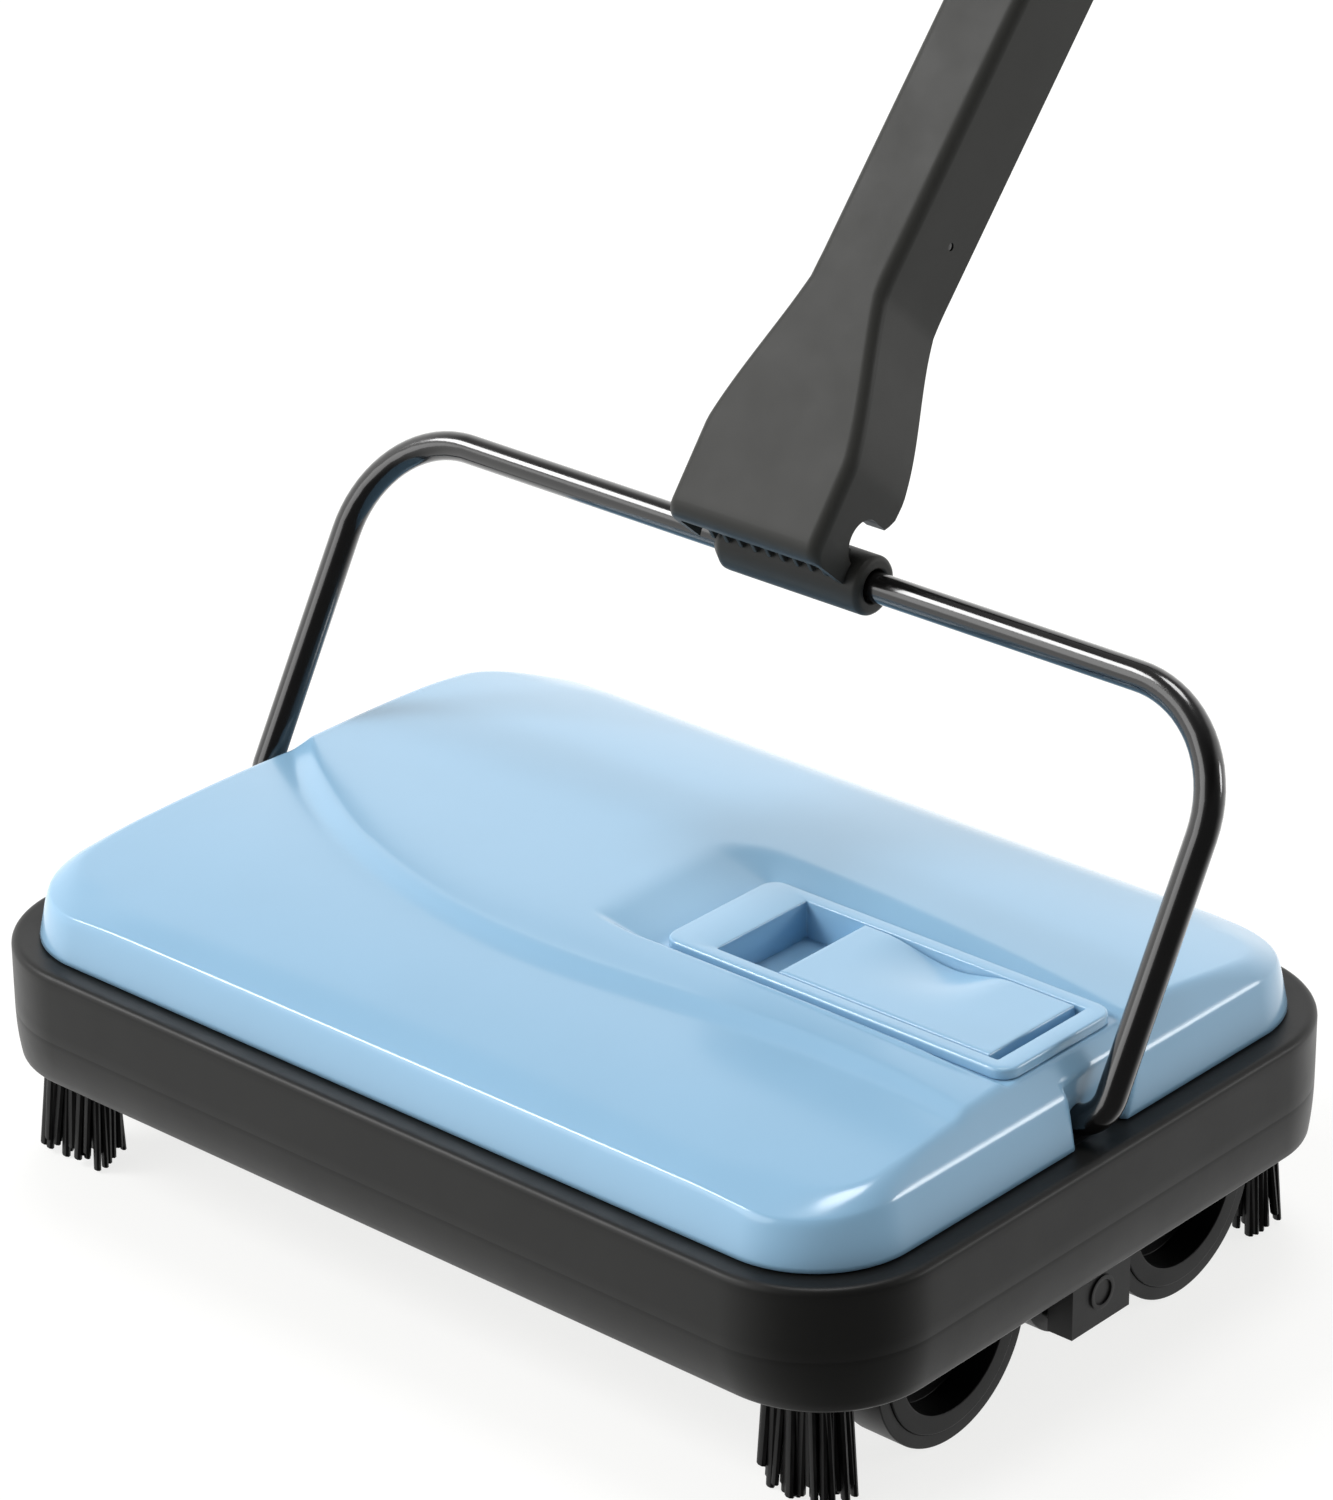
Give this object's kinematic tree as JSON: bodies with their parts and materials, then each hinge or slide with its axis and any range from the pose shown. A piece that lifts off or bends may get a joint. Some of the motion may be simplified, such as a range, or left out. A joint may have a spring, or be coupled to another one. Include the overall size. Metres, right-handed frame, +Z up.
{
  "type": "carpet sweeper",
  "caption": "Manual carpet sweeper: rotary brush driven by its wheels, corner brushes, drop-open dust pans, slide latch, wire bail and jointed handle.",
  "frame": {"origin": "on the floor under the middle of the whole object's box", "axes": "+X along the wide side of the body towards the latch end, +Y towards the user, +Z up"},
  "size_m": [0.3, 0.6754, 0.778],
  "materials": {
    "bumper_black": "satin soft moulding",
    "chassis_black": "matt moulding",
    "steel": "plated steel",
    "cover_blue": "polished light blue moulding",
    "pan_black": "matt moulding",
    "soft_rubber": "matt",
    "brush_core": "matt",
    "bristle_black": "nylon bristle",
    "bail_black": "gloss black paint on steel wire",
    "nylon": "natural nylon",
    "wheel_black": "satin moulding",
    "tyre_black": "matt",
    "neck_grey": "fine textured dark grey moulding",
    "tube_black": "black anodised"
  },
  "bodies": {
    "body": {"bumper": "bumper_black", "chassis": "chassis_black", "cover_screws": "steel", "top_cover": "cover_blue", "latch_bezel": "cover_blue", "slider_spring": "steel", "pan_rods": "steel", "pan_springs": "steel", "corner_holders": "chassis_black", "wheel_axles": "steel", "axle_bracket_right": "chassis_black", "axle_bracket_left": "chassis_black", "bearing_block_right": "chassis_black", "bearing_block_left": "chassis_black", "bearing_bush_right": "nylon", "bearing_bush_left": "nylon", "bail_socket_right": "chassis_black", "bail_socket_left": "chassis_black", "bail_bush_right": "nylon", "bail_bush_left": "nylon", "corner_tuft_front_right": "bristle_black", "corner_tuft_front_left": "bristle_black", "corner_tuft_rear_right": "bristle_black", "corner_tuft_rear_left": "bristle_black"},
    "latch": {"release_slider": "cover_blue", "release_bar": "chassis_black"},
    "front_pan": {"front_dust_pan": "pan_black", "front_pan_lip": "soft_rubber"},
    "rear_pan": {"rear_dust_pan": "pan_black", "rear_pan_lip": "soft_rubber"},
    "brush": {"brush_shaft": "steel", "brush_core": "brush_core", "brush_bristles": "bristle_black", "brush_drum_right": "soft_rubber", "brush_drum_left": "soft_rubber"},
    "wheel_front_right": {"wheel_hub_front_right": "wheel_black", "wheel_tyre_front_right": "tyre_black"},
    "wheel_front_left": {"wheel_hub_front_left": "wheel_black", "wheel_tyre_front_left": "tyre_black"},
    "wheel_rear_right": {"wheel_hub_rear_right": "wheel_black", "wheel_tyre_rear_right": "tyre_black"},
    "wheel_rear_left": {"wheel_hub_rear_left": "wheel_black", "wheel_tyre_rear_left": "tyre_black"},
    "bail_frame": {"bail": "bail_black"},
    "handle": {"neck_front_shell": "neck_grey", "neck_back_cover": "neck_grey", "neck_pin": "bail_black", "neck_screws": "steel", "bar_collar": "neck_grey", "neck_socket": "neck_grey", "handle_tube_lower": "tube_black", "handle_tube_middle": "tube_black", "handle_tube_upper": "tube_black", "tube_coupler_lower": "neck_grey", "tube_coupler_upper": "neck_grey", "handle_grip": "soft_rubber", "grip_cap": "neck_grey"}
  },
  "joints": [
    {"name": "bail_pivot", "type": "hinge", "parent": "body", "child": "bail_frame", "pos_m": [0, -0.23089, 0.0685], "axis": [1, 0, 0], "range_deg": [-18, 29.8]},
    {"name": "handle_pivot", "type": "hinge", "parent": "bail_frame", "child": "handle", "pos_m": [0, -0.17791, 0.161], "axis": [1, 0, 0], "range_deg": [-40, 40]},
    {"name": "brush_spin", "type": "hinge", "parent": "body", "child": "brush", "pos_m": [0, -0.23239, 0.0282], "axis": [1, 0, 0], "continuous": true},
    {"name": "latch_slide", "type": "slide", "parent": "body", "child": "latch", "axis": [-1, 0, 0], "range_m": [0, 0.016], "stiffness_N_per_m": 300, "springref_m": -0.01, "deforming": ["slider_spring"]},
    {"name": "front_pan_open", "type": "hinge", "parent": "body", "child": "front_pan", "pos_m": [0, -0.32238, 0.042], "axis": [-1, 0, 0], "range_deg": [0, 35]},
    {"name": "rear_pan_open", "type": "hinge", "parent": "body", "child": "rear_pan", "pos_m": [0, -0.14239, 0.042], "axis": [1, 0, 0], "range_deg": [0, 35]},
    {"name": "wheel_front_right_spin", "type": "hinge", "parent": "body", "child": "wheel_front_right", "pos_m": [0.131, -0.27838, 0.0282], "axis": [1, 0, 0], "continuous": true},
    {"name": "wheel_front_left_spin", "type": "hinge", "parent": "body", "child": "wheel_front_left", "pos_m": [-0.131, -0.27838, 0.0282], "axis": [1, 0, 0], "continuous": true},
    {"name": "wheel_rear_right_spin", "type": "hinge", "parent": "body", "child": "wheel_rear_right", "pos_m": [0.131, -0.18638, 0.0282], "axis": [1, 0, 0], "continuous": true},
    {"name": "wheel_rear_left_spin", "type": "hinge", "parent": "body", "child": "wheel_rear_left", "pos_m": [-0.131, -0.18638, 0.0282], "axis": [1, 0, 0], "continuous": true}
  ],
  "couplings": [
    {"joint": "front_pan_open", "follows": "latch_slide", "rad_per_m": 38},
    {"joint": "rear_pan_open", "follows": "latch_slide", "rad_per_m": 38},
    {"joint": "wheel_front_right_spin", "follows": "brush_spin", "ratio": -0.6312},
    {"joint": "wheel_front_left_spin", "follows": "brush_spin", "ratio": -0.6312},
    {"joint": "wheel_rear_right_spin", "follows": "brush_spin", "ratio": -0.6312},
    {"joint": "wheel_rear_left_spin", "follows": "brush_spin", "ratio": -0.6312}
  ]
}
